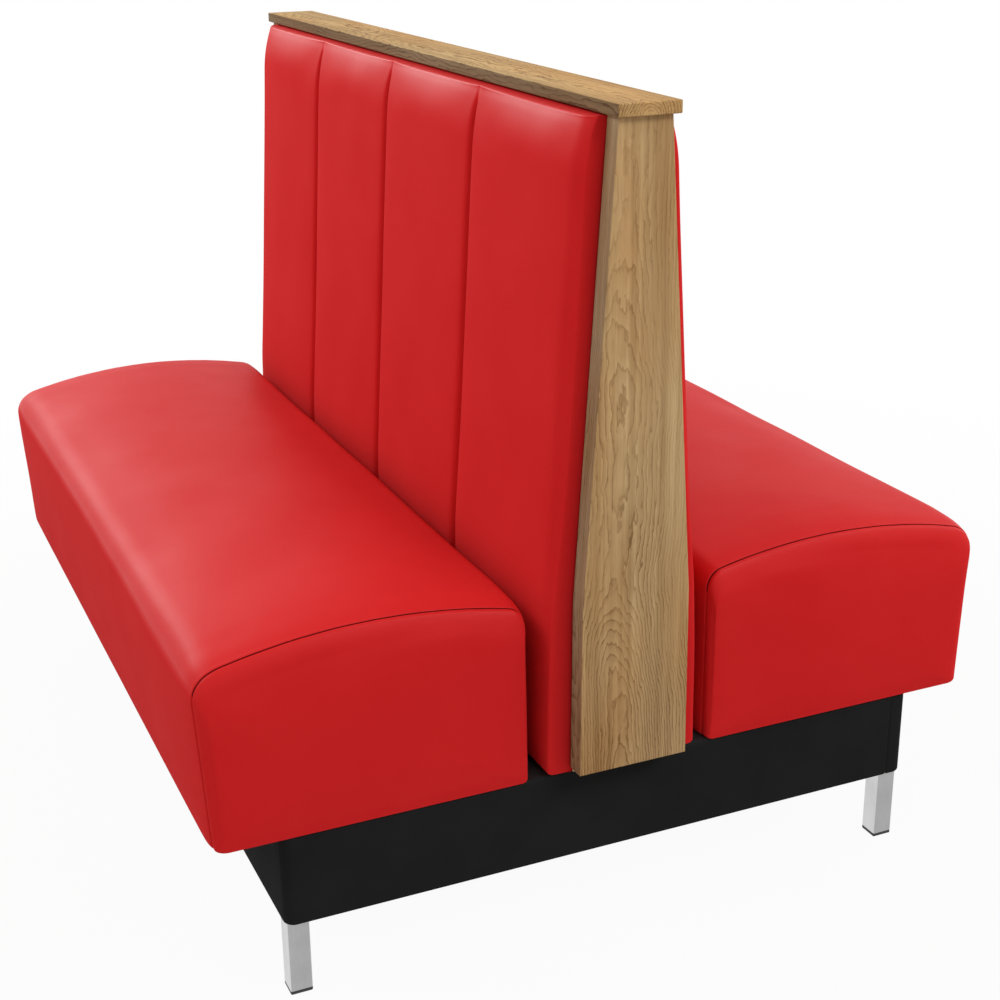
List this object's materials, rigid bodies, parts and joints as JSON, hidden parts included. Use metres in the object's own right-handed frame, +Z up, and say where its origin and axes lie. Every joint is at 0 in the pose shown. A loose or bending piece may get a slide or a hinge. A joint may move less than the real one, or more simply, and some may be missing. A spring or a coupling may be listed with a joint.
{
  "type": "double restaurant booth seat",
  "caption": "Back to back restaurant booth: upholstered seats on both sides of a tall channelled double back, on a plinth base with square metal legs.",
  "frame": {"origin": "on the floor under the middle of the booth", "axes": "+X along the booth towards the near end, +Y across the booth towards the right hand seat, +Z up"},
  "size_m": [1.304, 1.0934, 1.067],
  "materials": {
    "vinyl_red": "smooth upholstery vinyl with a soft sheen",
    "foam": "open cell cushion foam",
    "frame_wood": "bare plywood and framing timber",
    "oak": "clear satin lacquer on natural oak",
    "vinyl_black": "matte black upholstery vinyl",
    "deck_black": "plywood painted matte black",
    "dust_cloth": "thin black lining cloth",
    "leg_steel": "brushed",
    "foot_plastic": "moulded black plastic",
    "screw_steel": "zinc plated"
  },
  "bodies": {
    "root": {"back_bottom_rail": "frame_wood", "back_cover_left": "vinyl_red", "back_cover_right": "vinyl_red", "back_end_board_far": "frame_wood", "back_end_board_near": "frame_wood", "back_foam_left": "foam", "back_foam_right": "foam", "back_panel_left": "frame_wood", "back_panel_right": "frame_wood", "back_stud_far": "frame_wood", "back_stud_near": "frame_wood", "back_top_rail": "frame_wood", "base_corner_post_far_left": "frame_wood", "base_corner_post_far_right": "frame_wood", "base_corner_post_near_left": "frame_wood", "base_corner_post_near_right": "frame_wood", "base_cover": "vinyl_black", "base_cross_rail_far": "frame_wood", "base_cross_rail_near": "frame_wood", "base_deck": "deck_black", "base_end_rail_far": "frame_wood", "base_end_rail_near": "frame_wood", "base_side_rail_left": "frame_wood", "base_side_rail_right": "frame_wood", "cap_board": "oak", "deck_lag_screws": "screw_steel", "end_cap_far": "oak", "end_cap_near": "oak", "leg_foot_far_left": "foot_plastic", "leg_foot_far_right": "foot_plastic", "leg_foot_near_left": "foot_plastic", "leg_foot_near_right": "foot_plastic", "leg_hanger_bolts": "screw_steel", "leg_tube_far_left": "leg_steel", "leg_tube_far_right": "leg_steel", "leg_tube_near_left": "leg_steel", "leg_tube_near_right": "leg_steel", "seat_left_board": "frame_wood", "seat_left_cover_end_far": "vinyl_red", "seat_left_cover_end_near": "vinyl_red", "seat_left_cover_wrap": "vinyl_red", "seat_left_dust_cover": "dust_cloth", "seat_left_end_rail_far": "frame_wood", "seat_left_end_rail_near": "frame_wood", "seat_left_foam": "foam", "seat_left_front_rail": "frame_wood", "seat_left_rear_rail": "frame_wood", "seat_left_ribs": "frame_wood", "seat_right_board": "frame_wood", "seat_right_cover_end_far": "vinyl_red", "seat_right_cover_end_near": "vinyl_red", "seat_right_cover_wrap": "vinyl_red", "seat_right_dust_cover": "dust_cloth", "seat_right_end_rail_far": "frame_wood", "seat_right_end_rail_near": "frame_wood", "seat_right_foam": "foam", "seat_right_front_rail": "frame_wood", "seat_right_rear_rail": "frame_wood", "seat_right_ribs": "frame_wood", "trim_screws": "screw_steel"}
  },
  "joints": []
}
